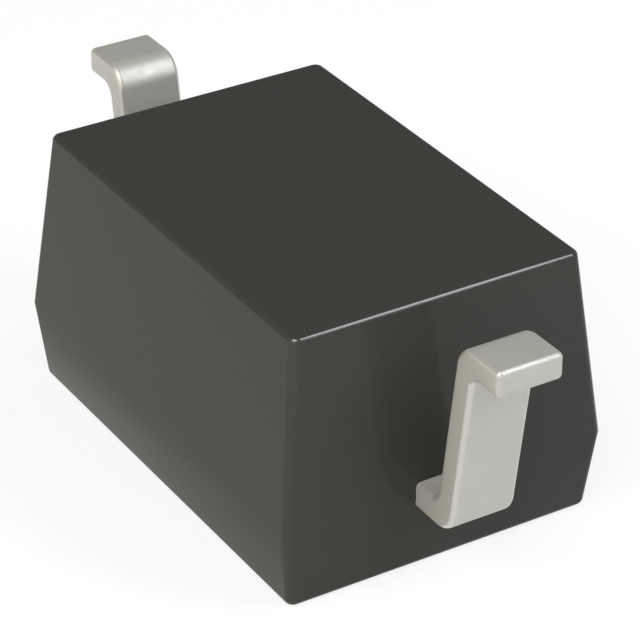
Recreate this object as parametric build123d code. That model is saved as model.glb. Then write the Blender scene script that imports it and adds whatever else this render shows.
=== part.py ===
from build123d import *
from math import radians, tan
import os

# Two-lead surface-mount protection diode in a moulded gull-wing package.
# It lies belly up on its marking face, so the solder feet are at the top.
# Millimetres; the origin is under the middle of the marking face.
# +Z points up through the belly and +X along the leads, to the anode.

# Moulded body
body_length = 1.795  # along the leads, at the parting line
body_width = 1.250  # across the leads, at the parting line
body_height = 0.993
parting_height = 0.306  # parting line above the marking face
end_draft = 5.7  # degrees
side_draft = 6.1  # degrees
upright_edge_radius = 0.032
belly_edge_radius = 0.018
marking_edge_radius = 0.030

# Gull wings, from the body end to the toe
lead_width = 0.248
sheet_thickness = 0.0975
lead_edge_radius = 0.0195  # along the strip and round the toe
bend_inner_radius = 0.051
bend_outer_radius = 0.0985  # the outside of a bend is coined tighter than its inside
exit_height = 0.3015  # middle of the sheet above the marking face
knee_reach = 0.1593  # body end to the corner of the knee
leg_lean = 8.75  # degrees outwards
foot_length = 0.1865  # corner of the foot's bend to the toe
stand_off = 0.0145  # solder face beyond the belly

# Die, with its wire bonds on the face away from the pad
die_size = 0.400
die_thickness = 0.120
attach_thickness = 0.015
attach_margin = 0.020  # squeezed out round the die
bond_metal_size = 0.260
bond_metal_thickness = 0.004

# Die pad and bond post, the ends of the two strips inside the body
plate_width = 0.640
plate_corner_radius = 0.050
pad_length = 0.600
post_length = 0.300
post_cover = 0.240  # body end to the post
step_cover = 0.130  # body end to the start of the pad's step
step_angle = 45  # degrees
step_setback = 0.045  # corner of the step to the die pad

# Bond wire
wire_radius = 0.015
ball_radius = 0.038
ball_height = 0.020
ball_edge_bevel = 0.008
loop_height = 0.110  # above the die's wire face
loop_start_radius = 0.050
loop_end_radius = 0.120
landing_run = 0.300  # falling stretch of the loop, measured along X
stitch_length = 0.090
stitch_width = 0.055
stitch_thickness = 0.010

# Places that follow from the sizes above
body_end = body_length / 2
knee_x = body_end + knee_reach
foot_height = body_height + stand_off - sheet_thickness / 2
foot_x = knee_x + (foot_height - exit_height) * tan(radians(leg_lean))
toe_x = foot_x + foot_length
leg_mitre = sheet_thickness / 2 * tan(radians(90 - leg_lean) / 2)
step_mitre = sheet_thickness / 2 * tan(radians(step_angle) / 2)

wire_face = exit_height - sheet_thickness / 2
pad_height = exit_height + attach_thickness + die_thickness
pad_face = pad_height - sheet_thickness / 2
step_outer_x = body_end - step_cover
step_inner_x = step_outer_x - (pad_height - exit_height) / tan(radians(step_angle))
pad_x = step_inner_x - step_setback - pad_length / 2
post_x = body_end - post_cover - post_length / 2
die_x = -pad_x


def mould_half(height, rim_radius):
    """Half of the moulding, drawn in by its drafts as it rises from the parting plane."""
    lengthwise = Trapezoid(body_length, height, 90 - end_draft, align=(Align.CENTER, Align.MIN))
    crosswise = Trapezoid(body_width, height, 90 - side_draft, align=(Align.CENTER, Align.MIN))
    block = extrude(Plane.XZ * lengthwise, body_width / 2, both=True)
    block &= extrude(Plane.YZ * crosswise, body_length / 2, both=True)
    uprights = block.edges().filter_by_position(Axis.Z, 0, height, inclusive=(False, False))
    block = fillet(uprights, upright_edge_radius)
    rim = block.faces().sort_by(Axis.Z)[-1].edges()
    return fillet(rim, rim_radius)


def moulded_block():
    """The moulding's outside, with its sharp parting line where the two halves meet."""
    belly_half = mould_half(body_height - parting_height, belly_edge_radius)
    marking_half = mirror(mould_half(parting_height, marking_edge_radius), about=Plane.XY)
    return Pos(0, 0, parting_height) * (belly_half + marking_half)


def sheet_side(start, corners, side):
    """One side of the bent sheet in the X-Z plane: the upper side is 1 and the lower side -1.

    A corner is a place on the middle of the sheet, the shift of the upper side's corner along X,
    and 1 where the strip bends up or -1 where it bends down.
    """
    points = [start] + [(x + side * mitre, z) for x, z, mitre, _ in corners] + [(toe_x, foot_height)]
    bends = [bend_inner_radius if way == side else bend_outer_radius for *_, way in corners]
    return FilletPolyline(*[(x, 0, z + side * sheet_thickness / 2) for x, z in points], radius=bends)


def formed_strip(start, inner_corners):
    """Plated strip from its start inside the body over the knee and the leg to the toe."""
    knee = (knee_x, exit_height, -leg_mitre, 1)
    foot_bend = (foot_x, foot_height, -leg_mitre, -1)
    upper = sheet_side(start, inner_corners + [knee, foot_bend], 1)
    lower = sheet_side(start, inner_corners + [knee, foot_bend], -1)
    profile = make_face([upper, Line(upper @ 1, lower @ 1), lower, Line(lower @ 0, upper @ 0)])
    strip = extrude(profile, lead_width / 2, both=True)
    inner_end = strip.faces().sort_by(Axis.X)[0]
    return fillet(strip.edges() - inner_end.edges(), lead_edge_radius)


def stamped_plate(centre_x, length, height):
    """Flat end of a strip inside the body, wide enough to lock it in the moulding."""
    outline = RectangleRounded(length, plate_width, plate_corner_radius)
    return Pos(centre_x, 0, height) * extrude(outline, sheet_thickness / 2, both=True)


def anode_strip():
    """Lead with a flat bond post."""
    strip = formed_strip((post_x, exit_height), [])
    return strip + stamped_plate(post_x, post_length, exit_height)


def cathode_strip():
    """Lead whose die pad is stepped up, so that die and post offer one level to the wire."""
    step = [(step_inner_x, pad_height, step_mitre, -1), (step_outer_x, exit_height, step_mitre, 1)]
    strip = formed_strip((pad_x, pad_height), step)
    return mirror(strip + stamped_plate(pad_x, pad_length, pad_height), about=Plane.YZ)


def attach_layer():
    """Thin square bed under the die, a little larger than the die."""
    size = die_size + 2 * attach_margin
    return Pos(die_x, 0, pad_face) * extrude(Rectangle(size, size), -attach_thickness)


def die_block():
    """Sawn square of silicon with a raised square of bond metal on its wire face."""
    die = Pos(die_x, 0, wire_face) * extrude(Rectangle(die_size, die_size), die_thickness)
    metal = extrude(Rectangle(bond_metal_size, bond_metal_size), -bond_metal_thickness)
    return die + Pos(die_x, 0, wire_face) * metal


def looped_wire():
    """Ball on the die, a loop towards the marking face, and a flat stitch on the post."""
    ball_base = wire_face - bond_metal_thickness
    loop_level = wire_face - loop_height
    route = FilletPolyline(
        (die_x, 0, ball_base),
        (die_x, 0, loop_level),
        (post_x - landing_run, 0, loop_level),
        (post_x, 0, wire_face),
        radius=[loop_start_radius, loop_end_radius],
    )
    across = Plane(origin=route @ 0, x_dir=(0, 1, 0), z_dir=route % 0)
    wire = sweep(across * Circle(wire_radius), path=route)
    ball = extrude(Circle(ball_radius), -ball_height)
    ball = Pos(die_x, 0, ball_base) * chamfer(ball.edges(), ball_edge_bevel)
    stitch = Pos(post_x, 0, wire_face) * extrude(SlotOverall(stitch_length, stitch_width), -stitch_thickness)
    bonded = split(wire + stitch, bisect_by=Plane.XY.offset(wire_face), keep=Keep.BOTTOM)
    return bonded + ball


def write_part():
    """Write one file for each piece of the diode."""
    pieces = {
        "cathode_lead": cathode_strip(),
        "anode_lead": anode_strip(),
        "die_attach": attach_layer(),
        "silicon_die": die_block(),
        "bond_wire": looped_wire(),
    }
    body = moulded_block()
    for held in list(pieces.values()):
        body -= held
    pieces["moulded_body"] = body
    os.makedirs("parts", exist_ok=True)
    for name, piece in pieces.items():
        export_step(piece, f"parts/{name}.step")


write_part()
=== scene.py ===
from math import cos, pi, radians, sin, tan

import bpy
import numpy as np
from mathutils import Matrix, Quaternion, Vector


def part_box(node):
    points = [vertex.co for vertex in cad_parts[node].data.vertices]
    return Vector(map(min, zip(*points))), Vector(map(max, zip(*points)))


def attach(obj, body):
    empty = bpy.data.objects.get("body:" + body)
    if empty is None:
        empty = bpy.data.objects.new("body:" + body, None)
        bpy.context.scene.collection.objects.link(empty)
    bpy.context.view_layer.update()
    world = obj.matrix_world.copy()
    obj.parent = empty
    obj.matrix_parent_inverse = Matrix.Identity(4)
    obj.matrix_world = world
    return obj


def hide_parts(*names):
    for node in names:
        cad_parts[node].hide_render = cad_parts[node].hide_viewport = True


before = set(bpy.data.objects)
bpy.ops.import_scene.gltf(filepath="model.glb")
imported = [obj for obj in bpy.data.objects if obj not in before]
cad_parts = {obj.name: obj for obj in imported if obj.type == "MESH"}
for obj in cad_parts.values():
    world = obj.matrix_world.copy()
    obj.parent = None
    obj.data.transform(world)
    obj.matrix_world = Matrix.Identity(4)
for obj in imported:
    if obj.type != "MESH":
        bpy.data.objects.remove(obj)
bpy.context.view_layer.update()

bl_info = {
    "name": "Moulded diode",
    "version": (1, 0, 0),
    "blender": (4, 5, 0),
    "location": "3D View > Sidebar > Diode",
    "description": "Surfaces, finishes and studio for a two-lead moulded diode",
    "category": "Object",
}

BODY = "root"
MM = 0.001
MICRON = 0.000001
CORNER_STEPS = 10  # faces round a quarter turn of an edge
BEND_STEPS = 20  # faces round a bend of the sheet
CREASE = radians(35)  # faces that meet more sharply than this show an edge
LEAST_RADIUS = 0.2 * MICRON  # keeps the points of a corner apart where its radius runs out
COARSE_RATIO = 0.17  # scale of the coarse grain over that of the fine grain
COARSE_SHARE = 0.35  # share of the coarse grain in the height
DRIFT_GRAINS = 60  # size of the tone drift, in grains
LAMP_DISTANCE = 25 * MM
LAMPS = (  # name, azimuth, elevation, angles across and up, roll, radiance and colour
    ("key", 132.2, 45.8, 14, 50, -32, 10.4, (0.93, 0.94, 1.0)),
    ("front lamp", 10, 22, 70, 44, 0, 1.50, (1.0, 0.87, 0.70)),
    ("near lamp", 28, 55, 40, 40, 0, 3.9, (1.0, 0.99, 0.95)),
    ("side lamp", 48, 24, 50, 36, 0, 0.62, (1.0, 0.84, 0.72)),
)

BODY_LOW, BODY_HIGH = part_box("moulded_body")
ANODE_LOW, ANODE_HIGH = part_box("anode_lead")
CATHODE_LOW, CATHODE_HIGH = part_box("cathode_lead")
ATTACH_LOW, ATTACH_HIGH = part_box("die_attach")


def length(name, description, default):
    """A size in metres that the user can change."""
    return bpy.props.FloatProperty(
        name=name, description=description, default=default, min=0, unit="LENGTH", precision=6
    )


def turn(name, description, degrees):
    """An angle that the user can change."""
    return bpy.props.FloatProperty(
        name=name, description=description, default=radians(degrees), subtype="ANGLE"
    )


def share(name, description, default, most=1.0):
    """A plain number from nought up."""
    return bpy.props.FloatProperty(
        name=name, description=description, default=default, min=0, max=most
    )


def colour(name, description, default):
    """A linear colour that the user can change."""
    return bpy.props.FloatVectorProperty(
        name=name, description=description, default=default, size=3, min=0, max=1, subtype="COLOR"
    )


class MouldingSizes(bpy.types.PropertyGroup):
    """Sizes of the moulded body."""

    length: length("Length", "Along the leads, at the parting line", BODY_HIGH.x - BODY_LOW.x)
    width: length("Width", "Across the leads, at the parting line", BODY_HIGH.y - BODY_LOW.y)
    height: length("Height", "From the marking face to the belly", BODY_HIGH.z - BODY_LOW.z)
    parting: length("Parting line", "Height above the marking face", 0.306 * MM)
    end_draft: turn("End draft", "Lean of the two end faces", 5.7)
    side_draft: turn("Side draft", "Lean of the two long sides", 6.1)
    upright_edge: length("Upright edges", "Radius of the four upright edges", 0.032 * MM)
    belly_edge: length("Belly edge", "Radius round the belly", 0.018 * MM)
    marking_edge: length("Marking edge", "Radius round the marking face", 0.030 * MM)
    polish_along: share("Polish along the rims", "Polish of the rims between the corners", 0.27)
    polish_upright: share("Upright polish", "Polish of the upright edges", 0.05)
    polish_lean: share("Polish lean", "Above 1, the rims shine nearer the flat faces", 1.3, 4.0)
    polish_sharpness: share("Polish sharpness", "Higher is a narrower band on the rims", 8.0, 20.0)


class LeadSizes(bpy.types.PropertyGroup):
    """Sizes of the two formed leads."""

    width: length("Width", "Width of the strip outside the body", 0.248 * MM)
    thickness: length("Thickness", "Thickness of the plated sheet", 0.0975 * MM)
    edge: length("Edge", "Radius along the strip and round the toe", 0.0195 * MM)
    bend_inner: length("Bend inside", "Radius of the inside of each bend", 0.051 * MM)
    bend_outer: length("Bend outside", "Radius of the outside of each bend", 0.0985 * MM)
    knee_reach: length("Knee reach", "Body end to the corner of the knee", 0.1593 * MM)
    lean: turn("Leg lean", "Outward lean of the leg", 8.75)
    plate_corner: length("Plate corner", "Corner radius of die pad and bond post", 0.050 * MM)
    plate_edge: length("Plate edge", "Edge break of die pad and bond post", 0.002 * MM)
    post_length: length("Post length", "Length of the bond post", 0.300 * MM)
    pad_length: length("Pad length", "Length of the die pad", 0.600 * MM)
    step_cover: length("Step cover", "Body end to the start of the pad's step", 0.130 * MM)
    step_angle: turn("Step angle", "Slope of the pad's step", 45)


class Finishes(bpy.types.PropertyGroup):
    """Colours and gloss of the pieces."""

    compound: colour("Compound", "Moulding compound", (0.0356, 0.0366, 0.0339))
    filler: colour("Filler", "Filler that shows through the skin", (0.0366, 0.0375, 0.0347))
    compound_roughness: share("Compound roughness", "Lower is shinier", 0.10)
    compound_polish: share("Compound edge polish", "Gloss of the body's rounded edges", 1.0)
    tin: colour("Tin", "Tin plating", (0.416, 0.419, 0.387))
    tin_shade: colour("Tin shade", "Hollows of the plating's grain", (0.405, 0.408, 0.377))
    tin_roughness: share("Tin roughness", "Lower is shinier", 0.46)
    tin_polish: share("Tin edge polish", "Gloss of the leads' rounded edges", 0.9)
    silicon: colour("Silicon", "Sawn die", (0.16, 0.17, 0.20))
    adhesive: colour("Adhesive", "Silver-filled die adhesive", (0.52, 0.52, 0.54))
    gold: colour("Gold", "Bond wire", (0.83, 0.60, 0.24))


class StudioSettings(bpy.types.PropertyGroup):
    """Camera, floor and sky."""

    azimuth: turn("Azimuth", "Camera round the object, from the front", 58.62)
    elevation: turn("Elevation", "Camera above the horizon", 30.71)
    distance: length("Distance", "Camera to the aim", 11.098 * MM)
    lens: share("Lens", "Focal length in millimetres", 179.1, 1000.0)
    aim_height: length("Aim height", "Height that the camera is aimed at", 0.4375 * MM)
    aim_right: length("Aim right", "Aim moved to the picture's right", 0.0454 * MM)
    aim_up: length("Aim up", "Aim moved up the picture", 0.0381 * MM)
    floor: colour("Floor", "Floor", (0.92, 0.92, 0.92))
    floor_glow: share("Floor white", "Share of plain white in what the camera and reflections see", 0.8)
    sky: colour("Sky", "Upper part of the studio", (0.15, 0.15, 0.15))
    horizon: colour("Horizon", "Lower rim of the studio", (0.95, 0.95, 0.95))


def rounded_rings(half_a, half_b, radius):
    """Rings of a rounded rectangle, one for each value of its half sizes and corner radius.

    A point at angle t is a corner's centre plus the radius times (cos t, sin t), and the four
    corner centres lie at plus or minus (half_a - radius, half_b - radius).
    """
    quarter = np.linspace(0, pi / 2, CORNER_STEPS + 1)
    angle = np.concatenate([quarter + k * pi / 2 for k in range(4)])
    sign_a = np.repeat([1, -1, -1, 1], CORNER_STEPS + 1)
    sign_b = np.repeat([1, 1, -1, -1], CORNER_STEPS + 1)
    across = sign_a * (half_a - radius)[:, None] + radius[:, None] * np.cos(angle)
    along = sign_b * (half_b - radius)[:, None] + radius[:, None] * np.sin(angle)
    return across, along


def rim_mask(turned, *, rim_share, corner_share, lean=1.0, sharpness=1.0):
    """Mask of the rounded edges, from each ring's share of the quarter turn into an end face.

    The rim is the sine of pi times that share, with the share raised to the lean and the sine to
    the sharpness. The corner is the sine of pi times the share of the turn round each corner. The
    mask is each of them times its share, plus both multiplied times what is left of 1, and it is
    0 on the rings that bound an end face.
    """
    rim = np.abs(np.sin(pi * turned**lean)) ** sharpness * (turned < 1)
    corner = np.tile(np.abs(np.sin(pi * np.linspace(0, 1, CORNER_STEPS + 1))), 4)
    alone = corner_share * (turned < 1) + (1 - rim_share - corner_share) * rim
    return rim_share * rim[:, None] + alone[:, None] * corner


def skin(name, rings, rim, finish, slot, replaced):
    """Closed piece from rings of points: each ring is joined to the next, and both ends are flat.

    Rings run anticlockwise when seen from the end that they lead to, so the faces point outwards.
    Rim is the mask of the rounded edges, kept as an attribute of the points. The piece stands
    for the CAD node that it replaces.
    """
    stations, around, _ = rings.shape
    index = np.arange(stations * around).reshape(stations, around)
    lower, upper = index[:-1], index[1:]
    sides = np.stack([lower, np.roll(lower, -1, 1), np.roll(upper, -1, 1), upper], -1).reshape(-1, 4)
    mesh = bpy.data.meshes.new(name)
    ends = [index[0][::-1].tolist(), index[-1].tolist()]
    mesh.from_pydata(rings.reshape(-1, 3), [], [*sides.tolist(), *ends])
    mesh.shade_smooth()
    mesh.set_sharp_from_angle(angle=CREASE)
    mesh.attributes.new("rim", "FLOAT", "POINT").data.foreach_set("value", rim.ravel())
    mesh.materials.append(finish)
    piece = bpy.data.objects.new(name, mesh)
    bpy.context.scene.collection.objects.link(piece)
    normals = piece.modifiers.new("flat faces stay flat", "WEIGHTED_NORMAL")
    normals.keep_sharp = True
    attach(piece, BODY)
    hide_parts(replaced)


def drafted_wall(half, rise, draft, radius):
    """Half size and height of one wall of a mould half, from the parting line over its rounded rim.

    The wall leans in by the tangent of the draft. The rim is an arc whose centre lies one radius
    inside the wall and one radius below the face, swept from the wall's normal to the face's.
    """
    face_half = half - rise * tan(draft)
    centre = face_half - radius * (1 - sin(draft)) / cos(draft)
    sweep = np.linspace(pi / 2 - draft, 0, CORNER_STEPS + 1)
    sizes = np.append(half, centre + radius * np.sin(sweep))
    heights = np.append(0, rise - radius + radius * np.cos(sweep))
    return sizes, heights


def mould_half(sizes, rise, rim):
    """Half lengths, half widths, corner radii and heights of the rings of one mould half."""
    half_length, height = drafted_wall(sizes.length / 2, rise, sizes.end_draft, rim)
    half_width, _ = drafted_wall(sizes.width / 2, rise, sizes.side_draft, rim)
    inset = sizes.length / 2 - height * tan(sizes.end_draft) - half_length
    return half_length, half_width, sizes.upright_edge - inset, height


def moulding_rings(sizes):
    """Rings of the moulding and their rims, from the marking face to the belly."""
    lower = mould_half(sizes, sizes.parting, sizes.marking_edge)
    upper = mould_half(sizes, sizes.height - sizes.parting, sizes.belly_edge)
    lower_rings = [values[:0:-1] for values in lower]
    half_length, half_width, corner, height = (
        np.concatenate(pair) for pair in zip(lower_rings, upper)
    )
    height[: len(lower_rings[3])] *= -1
    x, y = rounded_rings(half_length, half_width, corner)
    z = np.broadcast_to((sizes.parting + height)[:, None], x.shape)
    quarter = np.linspace(0, 1, CORNER_STEPS + 1)
    turned = np.concatenate([quarter[::-1], [0], quarter])
    rim = rim_mask(
        turned,
        rim_share=sizes.polish_along,
        corner_share=sizes.polish_upright,
        lean=sizes.polish_lean,
        sharpness=sizes.polish_sharpness,
    )
    return np.stack([x, y, z], -1), rim


def bent_line(corners, radii):
    """Points and headings of a line of straight runs with an arc at each inner corner.

    An arc begins the radius times the tangent of half its turn before the corner. Its points are
    its centre, less the first normal times the radius times the cosine of the angle swept, plus
    the first run's direction times the radius times its sine.
    """
    points, headings = [corners[:1]], [[0.0]]
    for before, corner, after, radius in zip(corners, corners[1:], corners[2:], radii):
        runs = (corner - before, after - corner)
        heading, onward = (np.arctan2(rise, run) for run, rise in runs)
        swept = np.linspace(0, onward - heading, BEND_STEPS + 1)
        along = np.array([cos(heading), sin(heading)])
        normal = np.array([-sin(heading), cos(heading)]) * np.sign(onward - heading)
        centre = corner - along * radius * tan(abs(onward - heading) / 2) + normal * radius
        arc = np.abs(swept)[:, None]
        points.append(centre + radius * (along * np.sin(arc) - normal * np.cos(arc)))
        headings.append(heading + swept)
    return np.concatenate([*points, corners[-1:]]), np.concatenate([*headings, [0.0]])


def sheet_side(sizes, start, corners, end, side):
    """One side of the bent sheet in the X-Z plane: the upper side is 1 and the lower side -1.

    A corner is a place on the middle of the sheet, the shift of the upper side's corner along X,
    and 1 where the strip bends up or -1 where it bends down.
    """
    points = [start, *((x + side * shift, z) for x, z, shift, _ in corners), end]
    radii = [sizes.bend_inner if way == side else sizes.bend_outer for *_, way in corners]
    return bent_line(np.array(points) + (0, side * sizes.thickness / 2), radii)


def strip_rings(upper, lower, heading, half_width, inset, edge):
    """Rings of a strip between matching points of its upper and its lower side line.

    The sheet's depth is the gap between the two points along the normal of the heading. A ring is
    a rounded rectangle of the width and that depth, drawn in by the inset; each of its points lies
    on the gap's line at its own share of the depth, and at its own place across the width on Y.
    """
    middle, gap = (upper + lower) / 2, upper - lower
    depth = gap[:, 1] * np.cos(heading) - gap[:, 0] * np.sin(heading)
    y, rise = rounded_rings(half_width - inset, depth / 2 - inset, edge)
    level = (rise / depth[:, None])[..., None]
    place = middle[:, None] + level * gap[:, None]
    return np.stack([place[..., 0], y, place[..., 1]], -1)


def lead_rings(sizes, moulding, start, step, plate_length):
    """Rings of one lead and their rims, from its plate inside the body to the rounded toe.

    Only the edges along the strip and the toe's upright edges are polished.
    """
    half_sheet = sizes.thickness / 2
    exit_height = ANODE_LOW.z + half_sheet
    end = np.array([ANODE_HIGH.x, ANODE_HIGH.z - half_sheet])
    knee_x = moulding.length / 2 + sizes.knee_reach
    foot_x = knee_x + (end[1] - exit_height) * tan(sizes.lean)
    shift = -half_sheet * tan(pi / 4 - sizes.lean / 2)
    corners = [*step, (knee_x, exit_height, shift, 1), (foot_x, end[1], shift, -1)]

    quarter = np.linspace(0, pi / 2, CORNER_STEPS + 1)
    corner = sizes.plate_corner * (1 - np.cos(quarter))
    plate = np.concatenate([corner, plate_length - corner[::-1], [plate_length]])
    toe = -sizes.edge * (1 - np.sin(quarter))
    lines = []
    for side in (1, -1):
        line, heading = sheet_side(sizes, start, corners, end, side)
        first, last = (np.stack([row[0] + run, np.full(run.shape, row[1])], -1)
                       for row, run in ((line[0], plate), (line[-1], toe)))
        lines.append(np.concatenate([first, line[1:-1], last]))
    heading = np.concatenate([0 * plate, heading[1:-1], 0 * toe])

    plate_half = ANODE_HIGH.y - sizes.plate_corner * (1 - np.sin(quarter))
    strip = heading.size - 2 * quarter.size
    half_width = np.concatenate([plate_half, plate_half[::-1], np.full(strip, sizes.width / 2)])
    inset = np.zeros(heading.size)
    inset[-quarter.size:] = sizes.edge * (1 - np.cos(quarter))
    edge = np.where(np.arange(heading.size) < 2 * quarter.size, sizes.plate_edge, sizes.edge - inset)
    turned = np.zeros(heading.size)
    turned[-quarter.size:] = quarter / quarter[-1]
    turned[0] = 1  # the flat start of the plate
    rings = strip_rings(*lines, heading, half_width, inset, np.maximum(edge, LEAST_RADIUS))
    return rings, rim_mask(turned, rim_share=0, corner_share=1)


def anode_rings(sizes, moulding):
    """Lead with the flat bond post."""
    start = (ANODE_LOW.x, ANODE_LOW.z + sizes.thickness / 2)
    return lead_rings(sizes, moulding, start, [], sizes.post_length)


def cathode_rings(sizes, moulding):
    """Lead with the stepped die pad, worked out on the anode's side and mirrored in X."""
    exit_height = CATHODE_LOW.z + sizes.thickness / 2
    pad_height = ATTACH_HIGH.z + sizes.thickness / 2
    outer_x = moulding.length / 2 - sizes.step_cover
    inner_x = outer_x - (pad_height - exit_height) / tan(sizes.step_angle)
    shift = sizes.thickness / 2 * tan(sizes.step_angle / 2)
    step = [(inner_x, pad_height, shift, -1), (outer_x, exit_height, shift, 1)]
    rings, rim = lead_rings(sizes, moulding, (-CATHODE_HIGH.x, pad_height), step, sizes.pad_length)
    return rings[:, ::-1] * (-1, 1, 1), rim[:, ::-1]


def node(tree, kind, values=(), **settings):
    """Adds a shader node, sets its fields, and fills its sockets with values or links."""
    made = tree.nodes.new(kind)
    for field, value in settings.items():
        setattr(made, field, value)
    for socket, value in dict(values).items():
        if isinstance(value, bpy.types.NodeSocket):
            tree.links.new(value, made.inputs[socket])
        else:
            made.inputs[socket].default_value = value
    return made


def new_group(name, inputs, outputs):
    """Empty node group with named sockets, and its two end nodes."""
    group = bpy.data.node_groups.new(name, "ShaderNodeTree")
    for socket, kind, default in inputs:
        made = group.interface.new_socket(name=socket, in_out="INPUT", socket_type=kind)
        if default is not None:
            made.default_value = default
    for socket, kind in outputs:
        group.interface.new_socket(name=socket, in_out="OUTPUT", socket_type=kind)
    return group, group.nodes.new("NodeGroupInput"), group.nodes.new("NodeGroupOutput")


def grain_group():
    """Fine grain of a surface: two sizes of noise as a height, and its tops as a mask."""
    group, given, result = new_group(
        "fine grain",
        [
            ("Vector", "NodeSocketVector", None),
            ("Scale", "NodeSocketFloat", 1.0),
            ("Coarse Share", "NodeSocketFloat", 0.5),
        ],
        [("Height", "NodeSocketFloat"), ("Mask", "NodeSocketFloat")],
    )
    fine = node(group, "ShaderNodeTexNoise", {
        "Vector": given.outputs["Vector"], "Scale": given.outputs["Scale"],
        "Detail": 3.0, "Roughness": 0.6,
    })
    coarse_scale = node(group, "ShaderNodeMath", {
        0: given.outputs["Scale"], 1: COARSE_RATIO,
    }, operation="MULTIPLY")
    coarse = node(group, "ShaderNodeTexNoise", {
        "Vector": given.outputs["Vector"], "Scale": coarse_scale.outputs[0],
        "Detail": 2.0, "Roughness": 0.5,
    })
    height = node(group, "ShaderNodeMix", {
        "Factor": given.outputs["Coarse Share"], "A": fine.outputs["Fac"], "B": coarse.outputs["Fac"],
    })
    mask = node(group, "ShaderNodeMapRange", {
        "Value": height.outputs["Result"], "From Min": 0.40, "From Max": 0.66,
    }, interpolation_type="SMOOTHSTEP")
    group.links.new(height.outputs["Result"], result.inputs["Height"])
    group.links.new(mask.outputs["Result"], result.inputs["Mask"])
    return group


def tone_group():
    """Slow drift between two colours over a surface, with the second colour where the mask is 1."""
    group, given, result = new_group(
        "tone drift",
        [
            ("Vector", "NodeSocketVector", None),
            ("Scale", "NodeSocketFloat", 1.0),
            ("Mask", "NodeSocketFloat", 0.0),
            ("Base", "NodeSocketColor", None),
            ("Second", "NodeSocketColor", None),
        ],
        [("Color", "NodeSocketColor")],
    )
    noise = node(group, "ShaderNodeTexNoise", {
        "Vector": given.outputs["Vector"], "Scale": given.outputs["Scale"], "Detail": 2.0,
    })
    drift = node(group, "ShaderNodeMapRange", {
        "Value": noise.outputs["Fac"], "From Min": 0.35, "From Max": 0.65, "To Max": 0.35,
    })
    both = node(group, "ShaderNodeMath", {
        0: drift.outputs["Result"], 1: given.outputs["Mask"],
    }, operation="MAXIMUM")
    blend = node(group, "ShaderNodeMix", {
        "Factor": both.outputs[0], "A": given.outputs["Base"], "B": given.outputs["Second"],
    }, data_type="RGBA")
    group.links.new(blend.outputs["Result"], result.inputs["Color"])
    return group


def empty_material(name):
    """New material without nodes, and its tree."""
    made = bpy.data.materials.new(name)
    made.use_nodes = True
    made.node_tree.nodes.clear()
    return made, made.node_tree


def shared(name, make):
    """The node group of that name, made on first use."""
    return bpy.data.node_groups.get(name) or make()


def grained_finish(name, base, second, *, roughness, spread, size, depth, polish=0.0, fixed):
    """Finish with grain of a given size and depth.

    The grain's mask shifts the colour, and the roughness by the spread each way, and its height
    feeds a bump. Polish is a glossy coat along the rounded edges only. Fixed holds the numbers
    that are the same all over, set on the shader's own sockets.
    """
    made, tree = empty_material(name)
    place = node(tree, "ShaderNodeTexCoord").outputs["Object"]
    grain = node(tree, "ShaderNodeGroup", {
        "Vector": place, "Scale": 1 / size, "Coarse Share": COARSE_SHARE,
    }, node_tree=shared("fine grain", grain_group))
    tone = node(tree, "ShaderNodeGroup", {
        "Vector": place, "Scale": 1 / (DRIFT_GRAINS * size), "Mask": grain.outputs["Mask"],
        "Base": (*base, 1), "Second": (*second, 1),
    }, node_tree=shared("tone drift", tone_group))
    shine = node(tree, "ShaderNodeMapRange", {
        "Value": grain.outputs["Mask"], "To Min": roughness - spread, "To Max": roughness + spread,
    })
    bump = node(tree, "ShaderNodeBump", {
        "Height": grain.outputs["Height"], "Strength": 1.0, "Distance": depth,
    })
    shader = node(tree, "ShaderNodeBsdfPrincipled", {
        "Base Color": tone.outputs["Color"], "Roughness": shine.outputs["Result"],
        "Normal": bump.outputs["Normal"], **fixed,
    })
    if polish:
        rim = node(tree, "ShaderNodeAttribute", attribute_name="rim")
        coat = node(tree, "ShaderNodeMath", {0: rim.outputs["Fac"], 1: polish}, operation="MULTIPLY")
        tree.links.new(coat.outputs[0], shader.inputs["Coat Weight"])
    node(tree, "ShaderNodeOutputMaterial", {"Surface": shader.outputs["BSDF"]})
    return made


def compound_finish(finishes):
    """Dark moulding compound with a smooth, weakly reflecting skin."""
    return grained_finish(
        "moulding compound", finishes.compound, finishes.filler,
        roughness=finishes.compound_roughness, spread=0.01,
        size=6 * MICRON, depth=0.004 * MICRON,
        polish=finishes.compound_polish,
        fixed={"IOR": 1.18, "Coat IOR": 2.3, "Coat Roughness": 0.10},
    )


def tin_finish(finishes):
    """Satin tin plating with a fine crystalline grain."""
    return grained_finish(
        "tin plating", finishes.tin, finishes.tin_shade,
        roughness=finishes.tin_roughness, spread=0.065,
        size=6 * MICRON, depth=0.5 * MICRON,
        polish=finishes.tin_polish,
        fixed={"Metallic": 0.4, "Coat IOR": 2.2, "Coat Roughness": 0.20},
    )


def inner_finishes(finishes):
    """Finishes of what the moulding holds, by CAD node."""
    return {
        "silicon_die": grained_finish(
            "sawn silicon", finishes.silicon, finishes.silicon * 0.8,
            roughness=0.22, spread=0.05, size=8 * MICRON, depth=0.1 * MICRON,
            fixed={"Metallic": 1.0},
        ),
        "die_attach": grained_finish(
            "silver-filled adhesive", finishes.adhesive, finishes.adhesive * 0.7,
            roughness=0.55, spread=0.1, size=5 * MICRON, depth=0.5 * MICRON,
            fixed={"Metallic": 0.8},
        ),
        "bond_wire": grained_finish(
            "drawn gold", finishes.gold, finishes.gold * 0.85,
            roughness=0.25, spread=0.05, size=3 * MICRON, depth=0.05 * MICRON,
            fixed={"Metallic": 1.0},
        ),
    }


def direction(azimuth, elevation):
    """Unit vector from the object: azimuth 0 is the front, at -Y, and 90 degrees is at +X."""
    return Vector((sin(azimuth) * cos(elevation), -cos(azimuth) * cos(elevation), sin(elevation)))


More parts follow.
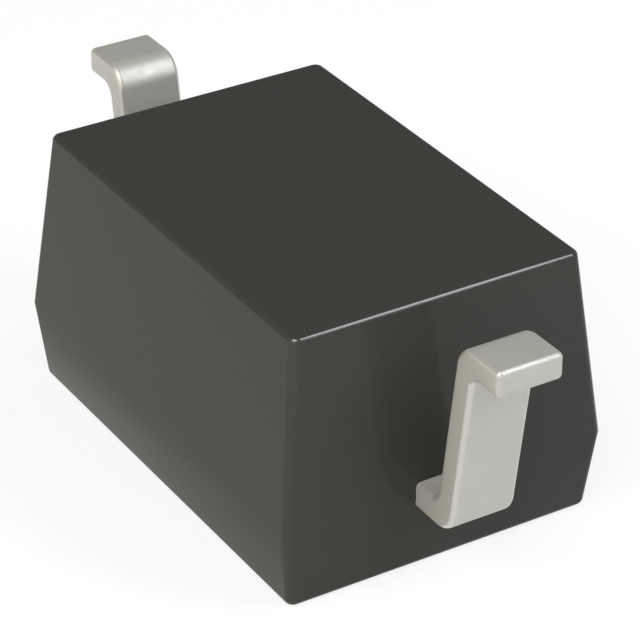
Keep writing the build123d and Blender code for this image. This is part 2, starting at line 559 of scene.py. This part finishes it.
def hang_lamp(name, azimuth, elevation, across, up, roll, radiance, tint):
    """Area lamp that fills the angles across and up, seen from the object.

    All angles are in degrees. Its power is the radiance times pi times its area.
    """
    lamp = bpy.data.lights.new(name, "AREA")
    lamp.shape = "RECTANGLE"
    lamp.size = 2 * LAMP_DISTANCE * tan(radians(across) / 2)
    lamp.size_y = 2 * LAMP_DISTANCE * tan(radians(up) / 2)
    lamp.energy = radiance * pi * lamp.size * lamp.size_y
    lamp.color = tint
    made = bpy.data.objects.new(name, lamp)
    towards = direction(radians(azimuth), radians(elevation))
    made.location = towards * LAMP_DISTANCE
    turned = towards.to_track_quat("Z", "Y") @ Quaternion((0, 0, 1), radians(roll))
    made.rotation_euler = turned.to_euler()
    made.visible_camera = False
    bpy.context.scene.collection.objects.link(made)


def floor_finish(settings):
    """Pale floor that keeps its shadow, lifted towards white for the camera and for reflections."""
    made, tree = empty_material("pale floor")
    plain = node(tree, "ShaderNodeBsdfDiffuse", {"Color": (*settings.floor, 1)})
    white = node(tree, "ShaderNodeEmission", {"Color": (1, 1, 1, 1), "Strength": 1.0})
    path = node(tree, "ShaderNodeLightPath")
    seen = node(tree, "ShaderNodeMath", {
        0: path.outputs["Is Camera Ray"], 1: path.outputs["Is Glossy Ray"],
    }, operation="ADD")
    seen = node(tree, "ShaderNodeMath", {
        0: seen.outputs[0], 1: path.outputs["Is Transmission Ray"],
    }, operation="ADD", use_clamp=True)
    lift = node(tree, "ShaderNodeMath", {
        0: seen.outputs[0], 1: settings.floor_glow,
    }, operation="MULTIPLY")
    both = node(tree, "ShaderNodeMixShader", {
        0: lift.outputs[0], 1: plain.outputs[0], 2: white.outputs[0],
    })
    node(tree, "ShaderNodeOutputMaterial", {"Surface": both.outputs[0]})
    return made


def studio_world(settings):
    """Plain studio: pale low round the horizon, greyer above."""
    world = bpy.data.worlds.new("studio")
    world.use_nodes = True
    tree = world.node_tree
    tree.nodes.clear()
    place = node(tree, "ShaderNodeTexCoord").outputs["Generated"]
    parts = node(tree, "ShaderNodeSeparateXYZ", {0: place})
    height = node(tree, "ShaderNodeMapRange", {
        "Value": parts.outputs["Z"], "From Min": 0.06, "From Max": 0.16,
    }, interpolation_type="SMOOTHSTEP")
    tone = node(tree, "ShaderNodeMix", {
        "Factor": height.outputs["Result"], "A": (*settings.horizon, 1), "B": (*settings.sky, 1),
    }, data_type="RGBA")
    light = node(tree, "ShaderNodeBackground", {"Color": tone.outputs["Result"], "Strength": 1.0})
    node(tree, "ShaderNodeOutputWorld", {"Surface": light.outputs[0]})
    bpy.context.scene.world = world


def lay_floor(settings):
    """Flat floor just under the marking face."""
    half = 150 * MM
    corners = ((-half, -half), (half, -half), (half, half), (-half, half))
    mesh = bpy.data.meshes.new("floor")
    mesh.from_pydata([(x, y, -MICRON) for x, y in corners], [], [(0, 1, 2, 3)])
    mesh.materials.append(floor_finish(settings))
    floor = bpy.data.objects.new("floor", mesh)
    bpy.context.scene.collection.objects.link(floor)


def place_camera(settings):
    """Long lens at the picture's viewing angle."""
    back = direction(settings.azimuth, settings.elevation)
    right = Vector((cos(settings.azimuth), sin(settings.azimuth), 0))
    up = back.cross(right)
    aim = Vector((0, 0, settings.aim_height)) + right * settings.aim_right + up * settings.aim_up
    lens = bpy.data.cameras.new("camera")
    lens.lens = settings.lens
    lens.clip_start = 1 * MM
    lens.clip_end = 1.0
    camera = bpy.data.objects.new("camera", lens)
    camera.location = aim + back * settings.distance
    camera.rotation_euler = (pi / 2 - settings.elevation, 0, settings.azimuth)
    bpy.context.scene.collection.objects.link(camera)
    bpy.context.scene.camera = camera


class DIODE_OT_moulding(bpy.types.Operator):
    """Moulds the body: rings from the marking face over the parting line to the belly"""

    bl_idname = "diode.moulding"
    bl_label = "Moulded body"

    def execute(self, context):
        scene = context.scene
        finish = compound_finish(scene.diode_finishes)
        rings = moulding_rings(scene.diode_moulding)
        skin("moulding", *rings, finish, "moulding_compound", "moulded_body")
        return {"FINISHED"}


class DIODE_OT_leads(bpy.types.Operator):
    """Forms both leads from a bent strip with a plate at its inner end"""

    bl_idname = "diode.leads"
    bl_label = "Formed leads"

    def execute(self, context):
        scene = context.scene
        finish = tin_finish(scene.diode_finishes)
        sizes = (scene.diode_leads, scene.diode_moulding)
        skin("anode_strip", *anode_rings(*sizes), finish, "tin_plating", "anode_lead")
        skin("cathode_strip", *cathode_rings(*sizes), finish, "tin_plating", "cathode_lead")
        return {"FINISHED"}


class DIODE_OT_inner_parts(bpy.types.Operator):
    """Gives the die, its adhesive and the bond wire their finishes"""

    bl_idname = "diode.inner_parts"
    bl_label = "Inner parts"

    def execute(self, context):
        for name, finish in inner_finishes(context.scene.diode_finishes).items():
            for material_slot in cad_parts[name].material_slots:
                material_slot.material = finish
        return {"FINISHED"}


class DIODE_OT_stage(bpy.types.Operator):
    """Lays the floor, hangs the lamps and places the camera"""

    bl_idname = "diode.stage"
    bl_label = "Floor, lamps and camera"

    def execute(self, context):
        settings = context.scene.diode_studio
        studio_world(settings)
        lay_floor(settings)
        for lamp in LAMPS:
            hang_lamp(*lamp)
        place_camera(settings)
        context.scene.view_settings.view_transform = "Standard"
        return {"FINISHED"}


class DIODE_PT_panel(bpy.types.Panel):
    """Lists the steps that build the diode"""

    bl_idname = "DIODE_PT_panel"
    bl_label = "Moulded diode"
    bl_space_type = "VIEW_3D"
    bl_region_type = "UI"
    bl_category = "Diode"

    def draw(self, context):
        for step in OPERATORS:
            self.layout.operator(step.bl_idname)


SETTINGS = {
    "diode_moulding": MouldingSizes,
    "diode_leads": LeadSizes,
    "diode_finishes": Finishes,
    "diode_studio": StudioSettings,
}
OPERATORS = (DIODE_OT_stage, DIODE_OT_moulding, DIODE_OT_leads, DIODE_OT_inner_parts)
CLASSES = (*SETTINGS.values(), *OPERATORS, DIODE_PT_panel)


def register():
    """Makes the settings, the steps and the panel known."""
    for kind in CLASSES:
        bpy.utils.register_class(kind)
    for field, kind in SETTINGS.items():
        setattr(bpy.types.Scene, field, bpy.props.PointerProperty(type=kind))


def unregister():
    """Takes them away again."""
    for field in SETTINGS:
        delattr(bpy.types.Scene, field)
    for kind in reversed(CLASSES):
        bpy.utils.unregister_class(kind)


def main():
    register()
    bpy.ops.diode.stage()
    bpy.ops.diode.moulding()
    bpy.ops.diode.leads()
    bpy.ops.diode.inner_parts()


if __name__ == "__main__":
    main()
